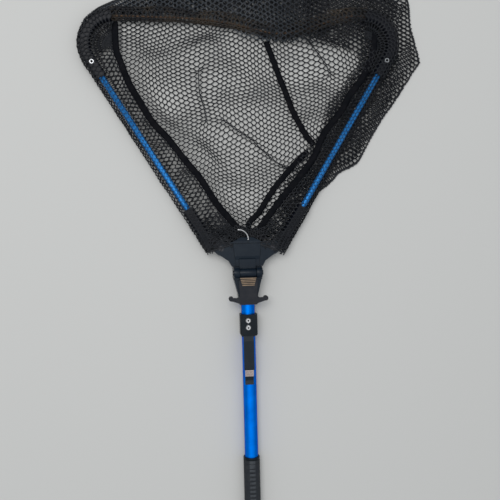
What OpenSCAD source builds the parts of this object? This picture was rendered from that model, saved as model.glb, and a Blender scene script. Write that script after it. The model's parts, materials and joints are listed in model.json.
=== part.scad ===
// Folding landing net: a telescopic handle, a folding head on a locking hub, two swinging arms
// and a net bag. It lies flat as it does on a table: +Z up, +Y along the handle towards the head,
// origin on the resting surface, straight below the pin that the head folds about.

/* [Handle] */
// Outer diameter of the handle tube
tube_d = 22; // [20:0.5:24]
// Wall thickness of both handle tubes
tube_wall = 1; // [0.8:0.1:1.2]
// Distance from the fold pin to the end of the outer tube
tube_end = 310; // [295:1:330]
// Outer diameter of the grip
grip_d = 27; // [26:0.5:30]
// Length of the grip, with its butt cap
grip_l = 129; // [110:1:150]
// Pitch of the raised ribs on the grip
rib_pitch = 7; // [6:0.5:9]

/* [Head] */
// Angle between one arm and the handle's line
arm_angle = 31.3; // [28:0.1:34]
// Length of the arm from the hub to the corner's bend
arm_l = 365; // [340:1:400]
// Outer diameter of the arm tube
arm_tube_d = 10; // [8:0.5:11]
// Centreline radius of the corner elbow
elbow_r = 43; // [38:1:48]
// Width of the elbow moulding
elbow_w = 18; // [16:0.5:20]

/* [Hub] */
// Height of the fold pin above the resting surface
hinge_z = 30; // [29.5:0.5:32]
// Diameter of the fold pin
hinge_pin_d = 5; // [4:0.5:6]
// Diameter of the arm pivot pins
arm_pin_d = 6; // [5:0.5:7]
// Half width of the hub where the fork grips the tongue
tongue_half = 13.5; // [12:0.5:14]

/* [Net] */
// Depth of the rim of the collapsed bag
bag_h = 5; // [4:0.5:5]
// Width of the net sleeve on the inner side of the arm
hem_in = 30; // [20:1:32]
// Diameter of the mouth cord
cord_d = 4; // [3:0.5:5]

/* [Hidden] */
$fn = 48;

// Clearances: running between moving pieces, seated between pieces that are fixed together
run = 0.3;
pin_run = 0.05;
seat = 0.03;
eps = 0.01;

// Handle
tube_r = tube_d / 2;
axis_z = grip_d / 2;
tube_start = 20;
inner_r = tube_r - tube_wall - 0.5;
inner_start = 62;
grip_start = tube_end + 2;
butt_end = grip_start + grip_l;
cap_l = 18;
ring_l = 2.5;
ring_lip = 1.5;
plug_l = 14;
sleeve_start = 36;
sleeve_l = 22;
cam_r = 5;
cam_offset = 1;

// Belt clip and its collar
collar_start = 68.3;
collar_end = 105.8;
collar_r = 13.3;
collar_half = [13.9, 12.5];
collar_shoulder = 25;
collar_top = 30.5;
rivet_y = [78, 89.7];
rivet_head_d = 9;
clip_w = 17;
clip_t = 1.8;
clip_z0 = 27;
clip_z = 30;
clip_end = 159;
// Metal band, and the lip beyond it that guides a belt in
band_w = 14;
band_t = 0.8;
band_end = 170;
lip_low = 177;
lip_end = 184;
lip_slope = 0.28;
// The strip lies a little to one side of the tube
clip_x = -1.5;

// Socket, fork and latch
socket_end = 52;
socket_top = 27;
fork_inner = tongue_half + 0.4;
fork_outer = 23;
lug_r = 8.2;
lug_y = [-11, 9.5];
knuckle_r = 6.5;
fork_floor = 14;
slider_z = socket_top + 0.4;
slider_top = 31.5;
slider_front = 7.3;
slider_step = 11.4;
slider_half = [15.5, 13];
pad_rib_h = 1.3;
pad_rib_w = 1.4;
pad_pitch = 2.8;
pad_ribs = 5;
// Half width of the pad's first and last rib
pad_half = [13, 10];
ear_reach = 28.3;
ear_y = 42;
ear_r = 3.9;
rail_start = 24;
rail_end = 46;
spring_room = 12.5;
spring_half = 1.3;
spring_leaf = 0.4;

// Hub
hub_z = [2.5, 7.7, 19.3, 24];
plate_h = 1.5;
pivot = [42, 40];
pivot_r = 11.5;
web_half = 24;
hub_low = 10;
tongue_top = 26.7;
tongue_end = 22;
// Half widths and ends of the raised plate, and where its lower end starts to slope
plate_low = [18.4, 9.5];
plate_high = [22.5, 47];
plate_slope = 27;
// Width and depth of the line round the plate
plate_line = 0.9;
screw_spots = [[-18, 28], [18, 28], [8, 46]];
ring_r = 15.5;
ring_spot = [2, 54.5];
ring_wire = 1.2;

// Arms: local +Y runs along the arm tube, from arm_foot
arm_foot = [52.7, 36];
eye_spot = [
    (pivot.x - arm_foot.x) * cos(arm_angle) - (pivot.y - arm_foot.y) * sin(arm_angle),
    (pivot.x - arm_foot.x) * sin(arm_angle) + (pivot.y - arm_foot.y) * cos(arm_angle)
];
eye_r = 10.5;
eye_t = 11;
barrel_start = 25;
barrel_end = 80.5;
barrel_d = 19;
flat_t = 14;
insert = 18;
sleeve_s = arm_l - 35.5;
arm_rivet_s = arm_l - 8.5;
arm_rivet_d = 8.7;
elbow_turn = 180 - (90 - arm_angle);
hem_out = 12;
hem_half = 8;
hem_wall = 1.2;
tape_w = 10;

// Outline of the collapsed bag, counter-clockwise from the hub
bag_outline = [
    [60, 64], [92, 76], [117, 124], [175, 161], [192, 177], [213, 216], [247, 268], [300, 343],
    [288, 397], [280, 440], [240, 472], [60, 484], [-110, 474], [-212, 440], [-258, 414],
    [-260, 380], [-226, 296], [-174, 211], [-101, 100], [-60, 64]
];
bag_skin = 2;
bag_rim = 6;
// Sewn tapes across the bag, each from the hub's side or the cord's to the right sleeve
tape_long = [[43, 369], [61, 319], [82, 264], [115, 210]];
tape_short = [[73, 165], [38, 120], [9, 84], [6, 76]];
// Mouth cord, from the left elbow's tip to the right one, slack between them
cord_route = [
    [-211, 413.2, 13.5], [-180, 413.2, 13.5], [-140, 412, 13], [-100, 411, 12], [-60, 408, 11],
    [-20, 403, 10], [20, 394, 9], [60, 387, 9], [100, 392, 10], [140, 404, 12],
    [180, 413.2, 13.5], [211, 413.2, 13.5]
];

// ---- Helpers ----

// A cylinder along +Y from y0 to y1, on a given line
module rod_y(y0, y1, r, z = axis_z, x = 0) {
    translate([x, y1, z]) rotate([90, 0, 0]) cylinder(r = r, h = y1 - y0);
}

// A cylinder along X, centred on x = 0
module rod_x(length, r, y, z) {
    translate([-length / 2, y, z]) rotate([0, 90, 0]) cylinder(r = r, h = length);
}

// A block between two corners
module block(low, high) {
    translate(low) cube(high - low);
}

// Puts its children in one arm's own frame; side is 1 on the right and -1 on the left
module on_arm(side) {
    mirror([side < 0 ? 1 : 0, 0, 0])
        translate([arm_foot.x, arm_foot.y, axis_z]) rotate([0, 0, -arm_angle]) children();
}

function unit(v) = v / norm(v);
function tangent(p, i) = unit(p[min(i + 1, len(p) - 1)] - p[max(i - 1, 0)]);
function side_of(t) = unit(cross(t, abs(t.z) < 0.9 ? [0, 0, 1] : [0, 1, 0]));
function ring_at(c, t, r, n) = let (u = side_of(t), v = cross(u, t))
    [for (k = [0:n - 1]) c + r * (cos(360 * k / n) * u + sin(360 * k / n) * v)];
function spline(p, i, f) = let (
        a = p[max(i - 1, 0)], b = p[i], c = p[i + 1], d = p[min(i + 2, len(p) - 1)])
    0.5 * (2 * b + (c - a) * f + (2 * a - 5 * b + 4 * c - d) * f * f
        + (3 * b - a - 3 * c + d) * f * f * f);
function smooth(p, n) = [
    for (i = [0:len(p) - 2]) for (k = [0:n - 1]) spline(p, i, k / n), p[len(p) - 1]];

// A round wire or cord swept along a list of points
module sweep(path, r, sides = 8) {
    n = len(path);
    points = [for (i = [0:n - 1]) each ring_at(path[i], tangent(path, i), r, sides)];
    walls = [for (i = [0:n - 2]) for (k = [0:sides - 1])
        let (m = (k + 1) % sides, a = i * sides + k, b = i * sides + m)
        each [[a, b, b + sides], [a, b + sides, a + sides]]];
    caps = [[for (k = [sides - 1:-1:0]) k], [for (k = [0:sides - 1]) (n - 1) * sides + k]];
    polyhedron(points, concat(walls, caps), convexity = 6);
}

// A flat strip of tape along a plan route
function plan_edge(route, off) = [for (i = [0:len(route) - 1])
    let (t = tangent(route, i)) route[i] + off * [-t.y, t.x]];
function reversed(list) = [for (i = [len(list) - 1:-1:0]) list[i]];

module strip(route, width, low, thick) {
    translate([0, 0, low]) linear_extrude(thick)
        polygon(concat(plan_edge(route, width / 2), reversed(plan_edge(route, -width / 2))));
}

// ---- Socket, fork and latch ----

module socket_plan() {
    polygon([[-fork_outer, -8], [-16, -36], [-14.5, -socket_end], [14.5, -socket_end],
        [16, -36], [fork_outer, -8]]);
}

module rail(grow) {
    block([-3 - grow, -rail_end, socket_top - eps], [3 + grow, -rail_start, 28.8]);
    block([-5 - grow, -rail_end, 28.4 - grow], [5 + grow, -rail_start, 29.8 + grow]);
}

module handle_socket() color([0.13, 0.15, 0.19]) {
    difference() {
        union() {
            linear_extrude(socket_top) socket_plan();
            block([-fork_outer, -10, 0], [fork_outer, 7, fork_floor]);
            for (side = [-1, 1]) {
                x0 = side > 0 ? fork_inner : -fork_outer;
                x1 = x0 + fork_outer - fork_inner;
                block([x0, lug_y[0], 8], [x1, lug_y[1], hinge_z]);
                translate([x0, 0, hinge_z]) rotate([0, 90, 0]) cylinder(r = lug_r, h = x1 - x0);
            }
        }
        rod_y(-socket_end - 1, -tube_start, tube_r + seat);
        rod_x(2 * fork_outer + 2, hinge_pin_d / 2 + seat, 0, hinge_z);
        rod_x(60, 1.5 + seat, -28, axis_z);
        // room for the tongue between the fork's lugs
        block([-fork_inner, -10, fork_floor], [fork_inner, lug_y[1] + 1, hinge_z + 10]);
    }
    rail(0);
}

module hinge_pin() color("silver") {
    rod_x(2 * fork_outer + 0.2, hinge_pin_d / 2, 0, hinge_z);
    for (side = [-1, 1])
        translate([side * (fork_outer + 0.85), 0, hinge_z]) rotate([0, 90, 0])
            cylinder(d = hinge_pin_d + 3, h = 1.5, center = true);
}

module socket_pin() color("silver") rod_x(33, 1.5, -28, axis_z);

module latch_plan() {
    polygon([for (side = [-1, 1]) each let (
            edge = [[tongue_half, -slider_front], [tongue_half, -slider_step],
                [slider_half[0], -slider_step - 1.5], [slider_half[1], -socket_end]])
        [for (k = [0:3]) let (p = edge[side < 0 ? k : 3 - k]) [side * p.x, p.y]]]);
}

module latch_ear(side) {
    tip = [side * ear_reach, -ear_y];
    linear_extrude(slider_top - slider_z) union() {
        polygon([[side * 12, -37], [side * 15.6, -39], [side * 19, -40.8], [side * 24, -40.4],
            tip + [0, 2], tip + [0, -3.5], [side * 22, -47.4], [side * 12, -50.8]]);
        translate(tip) circle(ear_r);
    }
    translate([tip.x, tip.y, -5]) cylinder(r = ear_r, h = 6);
    translate([side * (ear_reach - 8), -44.5, -5]) cylinder(r = 2.6, h = 6);
}

module latch_slider() color([0.16, 0.17, 0.2]) {
    difference() {
        union() {
            translate([0, 0, slider_z]) {
                linear_extrude(slider_top - slider_z) latch_plan();
                latch_ear(-1);
                latch_ear(1);
            }
            // thumb pad
            for (k = [0:pad_ribs - 1]) let (
                    half = pad_half[0] + (pad_half[1] - pad_half[0]) * k / (pad_ribs - 1),
                    front = -slider_front - 0.8 - k * pad_pitch)
                block([-half, front - pad_rib_w, slider_top - eps],
                    [half, front, slider_top + pad_rib_h]);
        }
        // T slot for the rail, open at the handle end, and the spring's pocket
        slot_end = -rail_start + spring_room;
        block([-3 - run, -socket_end - 1, slider_z - 1], [3 + run, slot_end, 29]);
        block([-5 - run, -socket_end - 1, 28.1], [5 + run, slot_end, 30.2]);
    }
}

module latch_spring() color("silver") {
    legs = 8;
    pitch = (spring_room - 1) / legs;
    route = [for (i = [0:legs]) [(i % 2 == 0 ? -1 : 1) * spring_half, -rail_start + 0.5 + i * pitch]];
    strip(route, 2 * spring_leaf, 28, 1.6);
}

// ---- Handle tubes, grip and twist lock ----

module outer_tube() color([0.03, 0.35, 0.85]) difference() {
    rod_y(-tube_end, -tube_start, tube_r);
    rod_y(-tube_end - 1, -tube_start + 1, tube_r - tube_wall);
    rod_x(60, 1.5 + seat, -28, axis_z);
}

module tube_end_ring() color([0.1, 0.1, 0.12]) difference() {
    rod_y(-tube_end - ring_lip, -tube_end + ring_l, tube_r + 2.6);
    rod_y(-tube_end, -tube_end + ring_l + 1, tube_r + seat);
    rod_y(-tube_end - ring_lip - 1, -tube_end + 1, inner_r + 0.15);
}

module lock_sleeve() color([0.85, 0.85, 0.82]) difference() {
    rod_y(-sleeve_start - sleeve_l, -sleeve_start, tube_r - tube_wall - 0.08);
    rod_y(-sleeve_start - sleeve_l - 1, -sleeve_start + 1, cam_r + cam_offset + run);
    // the slit that lets the cam spread it
    block([-0.8, -sleeve_start - sleeve_l - 1, axis_z], [0.8, -sleeve_start + 1, axis_z + 20]);
}

module lock_spindle() color("silver") {
    rod_y(-sleeve_start - sleeve_l - 0.5, -sleeve_start + 0.5, cam_r, axis_z - cam_offset);
    rod_y(-sleeve_start + 0.4, -sleeve_start + 3, 8.6);
    rod_y(-inner_start - plug_l, -sleeve_start - sleeve_l - 0.4, inner_r - tube_wall - seat);
}

module inner_tube() color([0.75, 0.76, 0.78]) difference() {
    rod_y(-butt_end + 3, -inner_start, inner_r);
    rod_y(-butt_end, -inner_start + 1, inner_r - tube_wall);
}

module grip() color([0.18, 0.2, 0.23]) {
    body_end = butt_end - cap_l;
    rib_first = grip_start + 13;
    rib_count = floor((body_end - 8 - rib_first) / rib_pitch);
    flat = 1.3;
    half = 6.8;
    difference() {
        rod_y(-body_end, -grip_start, grip_d / 2);
        rod_y(-body_end - 1, -grip_start + 1, inner_r + seat);
        // flats on the front and back, which carry the ribs
        for (side = [-1, 1])
            block([-half, -rib_first - rib_count * rib_pitch, axis_z + (side > 0 ? axis_z - flat : -20)],
                [half, -rib_first, axis_z + (side > 0 ? 20 : -axis_z + flat)]);
        // groove behind the front band
        difference() {
            rod_y(-grip_start - 6, -grip_start - 5, grip_d);
            rod_y(-grip_start - 7, -grip_start - 4, grip_d / 2 - 0.6);
        }
    }
    intersection() {
        rod_y(-body_end, -grip_start, grip_d / 2);
        for (k = [0:rib_count - 1]) for (side = [-1, 1])
            translate([0, -rib_first - (k + 0.5) * rib_pitch, axis_z + side * (axis_z - 1)])
                cube([2 * half - 0.6, rib_pitch * 0.55, 2.2], center = true);
    }
}

module butt_cap() color([0.1, 0.1, 0.12]) {
    rod_y(-butt_end, -butt_end + 3 - seat, grip_d / 2);
    difference() {
        rod_y(-butt_end + 3 - 2 * seat, -butt_end + cap_l - seat, grip_d / 2);
        rod_y(-butt_end + 2, -butt_end + cap_l + 1, inner_r + seat);
    }
    rod_y(-butt_end + 2, -butt_end + 14, inner_r - tube_wall - seat);
}

// ---- Belt clip ----

module clip_collar() color([0.09, 0.1, 0.12]) difference() {
    union() {
        rod_y(-collar_end + 4, -collar_start, collar_r);
        translate([0, -collar_end + 4, axis_z]) rotate([90, 0, 0])
            cylinder(r1 = collar_r, r2 = tube_r + 1, h = 4);
        block([-collar_half[0], -collar_end + 4, axis_z - 6],
            [collar_half[0], -collar_start, collar_shoulder]);
        block([-collar_half[1], -collar_end + 3, axis_z],
            [collar_half[1], -collar_start, collar_top]);
    }
    rod_y(-collar_end - 1, -collar_start + 1, tube_r + seat);
    block([clip_x - clip_w / 2 - seat, -collar_end - 1, clip_z0 - seat],
        [clip_x + clip_w / 2 + seat, -collar_start - 3, clip_z0 + clip_t + seat]);
    for (y = rivet_y) translate([clip_x, -y, 24.6]) cylinder(d = 4 + 2 * seat, h = 10);
}

module collar_rivets() color("silver") for (y = rivet_y) difference() {
    union() {
        translate([clip_x, -y, 24.7]) cylinder(d = 4, h = collar_top - 24.6);
        translate([clip_x, -y, collar_top])
            cylinder(d1 = rivet_head_d, d2 = rivet_head_d - 2.5, h = 1.4);
    }
    translate([clip_x, -y, collar_top - 3]) cylinder(d = 2.6, h = 6);
}

// Height of the strip's underside where it slopes towards the tube
function lip_z(y) = clip_z - max(y - clip_end - 1, 0) * lip_slope;

// A slice of the strip with the given width: an outline of [z, y] points
module strip_slice(width, outline)
    translate([clip_x + width / 2, 0, 0]) rotate([0, -90, 0]) linear_extrude(width)
        polygon(outline);

// The outline of the sloping strip from one distance to another, made thicker by extra
function slope_outline(start, stop, extra = 0) = [
    [clip_z - extra, -start], [clip_z - extra, -clip_end - 1], [lip_z(stop) - extra, -stop],
    [lip_z(stop) + clip_t + extra, -stop], [clip_z + clip_t + extra, -clip_end - 1],
    [clip_z + clip_t + extra, -start]];

module belt_clip() color([0.17, 0.18, 0.22]) difference() {
    union() {
        strip_slice(clip_w, [
            [clip_z0, -collar_start - 3.1], [clip_z0, -104], [clip_z, -112], [clip_z, -clip_end],
            [clip_z + clip_t, -clip_end], [clip_z + clip_t, -111.6], [clip_z0 + clip_t, -103.6],
            [clip_z0 + clip_t, -collar_start - 3.1]]);
        // waist inside the metal band
        strip_slice(band_w - 2 * band_t, slope_outline(clip_end - 1, band_end + 1));
        strip_slice(band_w, [
            [lip_z(band_end), -band_end], [lip_z(lip_low), -lip_low], [lip_z(band_end), -lip_end],
            [lip_z(band_end) + clip_t, -lip_end + 0.5], [lip_z(lip_low) + clip_t, -lip_low],
            [lip_z(band_end) + clip_t, -band_end]]);
    }
    for (y = rivet_y) translate([clip_x, -y, 24]) cylinder(d = 4 + 2 * seat, h = 10);
}

module clip_tip() color([0.66, 0.62, 0.61]) difference() {
    strip_slice(band_w, slope_outline(clip_end + seat, band_end - seat, band_t));
    strip_slice(band_w - 2 * band_t + 2 * seat, slope_outline(clip_end - 1, band_end + 1, seat));
}

// ---- Hub ----

module hub_plan() {
    polygon([[-25, hub_low], [-30, 19], [-53, 35], [-pivot.x, pivot.y + pivot_r], [-24, 50],
        [-10, 57], [10, 57], [24, 50], [pivot.x, pivot.y + pivot_r], [53, 35], [30, 19],
        [25, hub_low]]);
    for (side = [-1, 1]) translate([side * pivot.x, pivot.y]) circle(pivot_r);
}

module hub_holes() {
    for (side = [-1, 1]) translate([side * pivot.x, pivot.y, 0])
        cylinder(d = arm_pin_d + 2 * seat, h = 60);
    for (s = screw_spots) translate([s.x, s.y, 0]) {
        cylinder(r = 1.5 + seat, h = 22);
        cylinder(r = 2.8 + seat, h = hub_z[0] + 2);
    }
    block([-tongue_half - seat, 0, 12], [tongue_half + seat, tongue_end + seat, 40]);
}

module hub_base() color([0.13, 0.15, 0.19]) difference() {
    union() {
        translate([0, 0, hub_z[0]]) linear_extrude(hub_z[1] - hub_z[0]) hub_plan();
        translate([0, 0, hub_z[1] - eps]) linear_extrude(hub_z[2] - hub_z[1] + eps)
            polygon([[-25, hub_low], [-web_half, 50], [-10, 57], [10, 57], [web_half, 50],
                [25, hub_low]]);
    }
    hub_holes();
    translate([ring_spot.x, ring_spot.y, 16]) cylinder(r = ring_wire + seat, h = 10);
}

module plate_plan() {
    polygon([[-plate_low[0], plate_low[1]], [-plate_high[0], plate_high[1]],
        plate_high, plate_low]);
}

module hub_cover() color([0.15, 0.18, 0.23]) difference() {
    union() {
        translate([0, 0, hub_z[2] + seat]) linear_extrude(hub_z[3] - hub_z[2] - seat) hub_plan();
        // the raised plate, its lower end sloping down to the tongue
        difference() {
            translate([0, 0, hub_z[3] - plate_line]) linear_extrude(plate_h + plate_line)
                plate_plan();
            translate([-40, plate_slope, hub_z[3] + plate_h]) rotate([14, 0, 0])
                translate([0, -30, 0]) cube([80, 30, 10]);
        }
    }
    hub_holes();
    translate([0, 0, hub_z[3] - plate_line]) linear_extrude(plate_h + plate_line)
        difference() {
            offset(delta = plate_line) plate_plan();
            plate_plan();
        }
    // the sloping end, which the net's ring passes through
    translate([-40, 48, hub_z[3] + plate_h]) rotate([-24, 0, 0]) cube([80, 20, 10]);
    translate([ring_spot.x, ring_spot.y, 16]) cylinder(r = ring_wire + seat, h = 12);
    block([ring_spot.x - 1.5, 48, 22.6], [ring_spot.x + 1.5, 60, 30]);
}

module hinge_tongue() color([0.14, 0.17, 0.22]) difference() {
    union() {
        block([-tongue_half, 7, 12 + seat], [tongue_half, tongue_end, tongue_top]);
        block([-tongue_half, -3, 17], [tongue_half, 8, tongue_top]);
        block([-tongue_half, -5, 24], [tongue_half, 7, hinge_z]);
        translate([-tongue_half, 0, hinge_z]) rotate([0, 90, 0])
            cylinder(r = knuckle_r, h = 2 * tongue_half);
    }
    rod_x(40, hinge_pin_d / 2 + pin_run, 0, hinge_z);
}

module hub_screws() color("silver") for (s = screw_spots) translate([s.x, s.y, 0]) {
    translate([0, 0, hub_z[0] + 0.2]) cylinder(r = 1.5, h = 19);
    translate([0, 0, hub_z[0]]) cylinder(r = 2.8, h = 1.9);
}

module arm_pins() color("silver") for (side = [-1, 1])
    translate([side * pivot.x, pivot.y, hub_z[0]]) {
        cylinder(d = arm_pin_d, h = hub_z[3] - hub_z[0] + 0.2);
        translate([0, 0, hub_z[3] - hub_z[0] + 0.1]) cylinder(d = arm_pin_d + 3, h = 1);
    }

module net_ring() color("silver") {
    top = hub_z[3] + plate_h + 1.5;
    translate([ring_spot.x, ring_spot.y, 17]) cylinder(r = ring_wire, h = top - 17);
    translate([ring_spot.x - ring_r, ring_spot.y + ring_r, 9]) cylinder(r = ring_wire, h = top - 9);
    translate([ring_spot.x - ring_r, ring_spot.y, top]) rotate_extrude(angle = 90)
        translate([ring_r, 0]) circle(ring_wire, $fn = 24);
}

// ---- Arms: one set of modules, used on both sides ----

module arm_root(side) color([0.12, 0.13, 0.16]) on_arm(side) difference() {
    union() {
        translate([0, 0, -eye_t / 2]) linear_extrude(eye_t) {
            translate(eye_spot) circle(eye_r);
            polygon([eye_spot + [-eye_r, 1], [-barrel_d / 2, barrel_start + 4],
                [barrel_d / 2, barrel_start + 4], [barrel_d / 2, 16], eye_spot + [8.5, -6]]);
        }
        intersection() {
            rod_y(barrel_start, barrel_end, barrel_d / 2, 0);
            block([-20, 0, -flat_t / 2], [20, arm_l, flat_t / 2]);
        }
    }
    translate([eye_spot.x, eye_spot.y, -10]) cylinder(d = arm_pin_d + 2 * pin_run, h = 20);
    rod_y(barrel_end - insert, barrel_end + 1, arm_tube_d / 2 + seat, 0);
}

module arm_tube(side) color([0.03, 0.35, 0.85]) on_arm(side) difference() {
    rod_y(barrel_end - insert + seat, arm_l - 2, arm_tube_d / 2, 0);
    rod_y(0, arm_l, arm_tube_d / 2 - 1, 0);
    translate([0, arm_rivet_s, -20]) cylinder(d = 4 + 2 * seat, h = 40);
}

module elbow_section() intersection() {
    circle(d = elbow_w);
    square([elbow_w, flat_t], center = true);
}

module elbow(side) color([0.12, 0.13, 0.16]) on_arm(side) difference() {
    union() {
        translate([0, arm_l + eps, 0]) rotate([90, 0, 0])
            linear_extrude(arm_l - sleeve_s) elbow_section();
        translate([-elbow_r, arm_l, 0]) rotate_extrude(angle = elbow_turn)
            translate([elbow_r, 0]) elbow_section();
    }
    rod_y(0, arm_l - 2 + seat, arm_tube_d / 2 + seat, 0);
    translate([0, arm_rivet_s, -20]) cylinder(d = 4 + 2 * seat, h = 40);
    // socket for the mouth cord in the end of the inner leg
    translate([-elbow_r, arm_l, 0]) rotate([0, 0, elbow_turn]) translate([elbow_r, 1, 0])
        rotate([90, 0, 0]) cylinder(d = cord_d + 0.6, h = 10);
}

module elbow_rivet(side) color("silver") on_arm(side) translate([0, arm_rivet_s, 0])
    difference() {
        union() {
            cylinder(d = 4, h = flat_t + 1.2, center = true);
            for (end = [0, 1]) mirror([0, 0, end]) translate([0, 0, flat_t / 2 + seat])
                cylinder(d1 = arm_rivet_d, d2 = arm_rivet_d - 2, h = 1.1);
        }
        cylinder(d = 3, h = 40, center = true);
    }

module hem(side) color([0.1, 0.1, 0.13]) on_arm(side) difference() {
    block([-hem_in, barrel_end + 4, -hem_half], [hem_out, sleeve_s - 3, hem_half]);
    block([-hem_in + hem_wall, barrel_end, -hem_half + hem_wall],
        [hem_out - hem_wall, sleeve_s, hem_half - hem_wall]);
}

module tape(side) color([0.05, 0.05, 0.07]) on_arm(side)
    block([-hem_in - tape_w - 0.2, barrel_end + 4, -1], [-hem_in - 0.2, sleeve_s - 3, 1]);

// ---- Net bag and cord ----

module net_bag() color([0.1, 0.1, 0.13]) difference() {
    linear_extrude(bag_h) polygon(bag_outline);
    translate([0, 0, bag_skin]) linear_extrude(bag_h) difference() {
        polygon(bag_outline);
        // a low rim around the outline
        for (i = [0:len(bag_outline) - 1]) {
            a = bag_outline[i];
            d = bag_outline[(i + 1) % len(bag_outline)] - a;
            translate(a) rotate(atan2(d.y, d.x)) translate([-1, -1]) square([norm(d) + 2, bag_rim]);
        }
    }
}

module bag_tapes() color([0.05, 0.05, 0.07]) {
    strip(tape_long, tape_w, bag_skin + 0.05, 1);
    strip(tape_short, tape_w, bag_skin + 0.05, 1);
}

module mouth_cord() color([0.1, 0.1, 0.13]) sweep(smooth(cord_route, 4), cord_d / 2, 8);

handle_socket();
hinge_pin();
socket_pin();
outer_tube();
tube_end_ring();
clip_collar();
collar_rivets();
belt_clip();
clip_tip();
latch_spring();
latch_slider();
lock_sleeve();
lock_spindle();
inner_tube();
grip();
butt_cap();
hub_base();
hub_cover();
hinge_tongue();
hub_screws();
arm_pins();
net_ring();
net_bag();
bag_tapes();
mouth_cord();
arm_root(-1);  // arm_root_left
arm_tube(-1);  // arm_tube_left
elbow(-1);  // elbow_left
elbow_rivet(-1);  // elbow_rivet_left
hem(-1);  // hem_left
tape(-1);  // tape_left
arm_root(1);  // arm_root_right
arm_tube(1);  // arm_tube_right
elbow(1);  // elbow_right
elbow_rivet(1);  // elbow_rivet_right
hem(1);  // hem_right
tape(1);  // tape_right
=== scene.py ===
"""The looks of the folding landing net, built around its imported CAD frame."""

import json
import math

import bpy
import numpy as np
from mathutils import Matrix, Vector


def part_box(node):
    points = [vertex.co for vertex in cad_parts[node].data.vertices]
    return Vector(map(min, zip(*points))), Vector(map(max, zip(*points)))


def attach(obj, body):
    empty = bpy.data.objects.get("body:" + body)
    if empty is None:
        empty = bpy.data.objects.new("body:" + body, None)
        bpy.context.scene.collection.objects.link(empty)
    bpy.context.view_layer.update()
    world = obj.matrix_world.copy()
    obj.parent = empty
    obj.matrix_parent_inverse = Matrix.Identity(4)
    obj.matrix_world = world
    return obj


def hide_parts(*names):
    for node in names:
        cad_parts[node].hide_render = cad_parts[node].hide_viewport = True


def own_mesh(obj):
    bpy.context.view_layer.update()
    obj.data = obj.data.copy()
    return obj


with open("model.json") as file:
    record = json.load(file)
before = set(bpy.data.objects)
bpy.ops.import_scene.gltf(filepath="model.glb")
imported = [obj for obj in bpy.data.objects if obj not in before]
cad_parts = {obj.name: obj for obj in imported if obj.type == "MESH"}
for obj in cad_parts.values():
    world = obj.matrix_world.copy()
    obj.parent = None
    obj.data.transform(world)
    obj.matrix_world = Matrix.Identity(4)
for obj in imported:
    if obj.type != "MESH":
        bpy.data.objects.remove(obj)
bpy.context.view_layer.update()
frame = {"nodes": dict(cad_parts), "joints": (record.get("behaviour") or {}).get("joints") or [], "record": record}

NODES = frame["nodes"]
UP = np.array([0.0, 0.0, 1.0])

# ---------------------------------------------------------------- places, all from the frame


def box(node):
    """A CAD node's lowest and highest corner as arrays."""
    low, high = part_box(node)
    return np.array(low), np.array(high)


def middle(node):
    """The middle of a CAD node's box."""
    low, high = box(node)
    return (low + high) / 2


# The elbow's width, half the width of an arm's mouldings, how far past its rivet an elbow begins
# to bend, and the angle that it turns through
ELBOW_WIDTH = 0.018
HALF_MOULDING = 0.0095
RIVET_TO_BEND = 0.0085
ELBOW_TURN = math.radians(121.3)
TUBE_R = (box("arm_tube_right")[1][2] - box("arm_tube_right")[0][2]) / 2


class Arm:
    """One arm's line: straight along its tube, then round the elbow, measured from the hub."""

    def __init__(self, side):
        name = "right" if side > 0 else "left"
        self.side = side
        self.body = "arm_" + name
        self.name = name
        tube, rivet = middle("arm_tube_" + name), middle("elbow_rivet_" + name)
        self.z = tube[2]
        self.along = (rivet - tube)[:2] / np.linalg.norm((rivet - tube)[:2])
        self.inward = np.array([-side * self.along[1], side * self.along[0]])
        pivot = next(j for j in frame["joints"] if j["child"] == self.body)["pos_m"]
        self.pivot = np.array(pivot)
        reach = (rivet[:2] - self.pivot[:2]) @ self.along
        self.foot = rivet[:2] - self.along * reach
        self.rivet = reach
        self.bend = reach + RIVET_TO_BEND
        start = self.foot + self.along * self.bend
        outermost = abs(box("elbow_" + name)[side > 0][0])
        self.radius = (outermost - ELBOW_WIDTH / 2 - abs(start[0])) / (1 + side * self.inward[0])
        self.centre = start + self.inward * self.radius
        self.length = self.bend + self.radius * ELBOW_TURN
        high = box("arm_root_" + name)[1]
        self.tube_start = (high[1] - HALF_MOULDING * abs(self.along[0]) - self.foot[1]) / self.along[1]
        low = box("elbow_" + name)[0]
        self.tube_end = (low[1] + HALF_MOULDING * abs(self.along[0]) - self.foot[1]) / self.along[1]

    def frame_at(self, s):
        """Plan position and inward direction at distances s along the arm."""
        s = np.asarray(s, float)
        straight = self.foot + np.minimum(s, self.bend)[..., None] * self.along
        turn = np.maximum(s - self.bend, 0) / self.radius * self.side
        c, w = np.cos(turn), np.sin(turn)
        x, y = self.inward
        inward = np.stack([c * x - w * y, w * x + c * y], -1)
        bent = self.centre - inward * self.radius
        return np.where((s > self.bend)[..., None], bent, straight), inward

    def place(self, s, inner, height):
        """Points at distance s along the arm, inner metres inside its line, at a height over it."""
        spot, inward = self.frame_at(s)
        plan = spot + inward * np.asarray(inner)[..., None]
        return np.concatenate([plan, (self.z + np.asarray(height))[..., None]], -1)


ARMS = {side: Arm(side) for side in (-1, 1)}

# ---------------------------------------------------------------- camera, light and floor


# The photograph was taken from almost straight above, leaning a few degrees
CAMERA_PLACE = (-0.1042, 0.0985, 1.1455)
CAMERA_TURN = (-3.016, -5.621, -1.392)
FLOOR_REACH = 6.0


def make_camera():
    data = bpy.data.cameras.new("camera")
    data.lens = 50
    data.clip_start = 0.01
    camera = bpy.data.objects.new("camera", data)
    camera.location = CAMERA_PLACE
    camera.rotation_euler = [math.radians(angle) for angle in CAMERA_TURN]
    bpy.context.scene.collection.objects.link(camera)
    bpy.context.scene.camera = camera


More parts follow.
